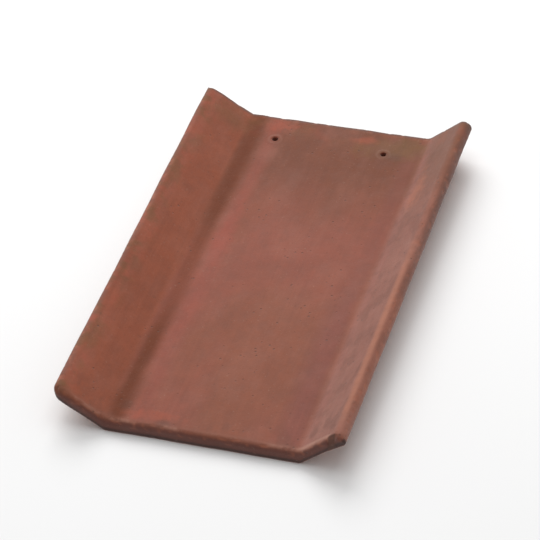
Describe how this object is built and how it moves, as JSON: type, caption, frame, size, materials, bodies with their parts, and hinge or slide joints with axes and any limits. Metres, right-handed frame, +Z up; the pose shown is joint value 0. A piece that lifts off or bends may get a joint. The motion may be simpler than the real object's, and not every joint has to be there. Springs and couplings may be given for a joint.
{
  "type": "clay roof tile",
  "caption": "Trough-shaped clay roof tile: a flat pan between two upturned splayed sides, with a rounded foot edge and nail holes near the head.",
  "frame": {"origin": "middle of the tile's footprint, on the level that the flat underside of the pan rests on", "axes": "+Y along the tile from foot to head, +X across it towards the side with the crest, +Z up out of the weather face"},
  "size_m": [0.2558, 0.42, 0.0397],
  "materials": {
    "fired_clay": "matt unglazed red-brown fired clay, slightly mottled, darker on the foot edge"
  },
  "bodies": {
    "root": {"roof_tile": "fired_clay"}
  },
  "joints": []
}
